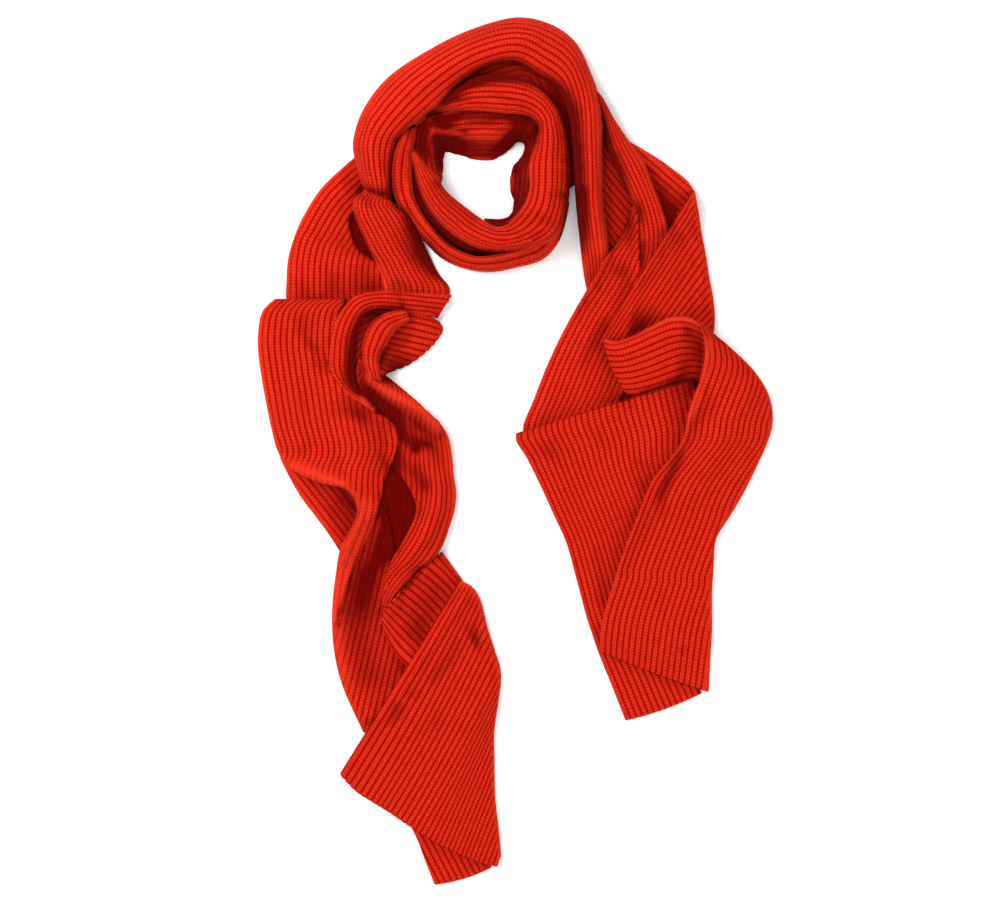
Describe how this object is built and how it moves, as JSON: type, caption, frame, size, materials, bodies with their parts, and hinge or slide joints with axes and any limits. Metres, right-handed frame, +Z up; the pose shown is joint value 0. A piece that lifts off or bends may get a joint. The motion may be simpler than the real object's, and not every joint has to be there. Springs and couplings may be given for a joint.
{
  "type": "ribbed knit scarf",
  "caption": "Long rib-knit scarf laid flat: looped round an open neck ring, with two loosely folded tails hanging from it.",
  "frame": {"origin": "centre of the scarf's outline on the surface it lies on", "axes": "+X towards the shorter tail (right, seen from above), +Y towards the neck loop, +Z up from the surface"},
  "size_m": [0.6178, 1.0403, 0.0519],
  "materials": {
    "knit": "soft orange-red rib knit, matt with a fine fuzz"
  },
  "bodies": {
    "root": {"inner_band": "knit", "inner_wall": "knit", "left_core": "knit", "left_curl": "knit", "left_front_end": "knit", "left_hollow": "knit", "left_inner_turn": "knit", "left_lobe": "knit", "left_panel": "knit", "left_panel_top": "knit", "left_panel_under": "knit", "left_roll": "knit", "left_shoulder": "knit", "left_under_end": "knit", "left_valley": "knit", "loop_core": "knit", "low_turn": "knit", "outer_band": "knit", "right_back": "knit", "right_core": "knit", "right_cuff": "knit", "right_front_end": "knit", "right_return": "knit", "right_under_end": "knit", "tail_inner": "knit", "tail_middle": "knit", "tail_outer": "knit"}
  },
  "joints": []
}
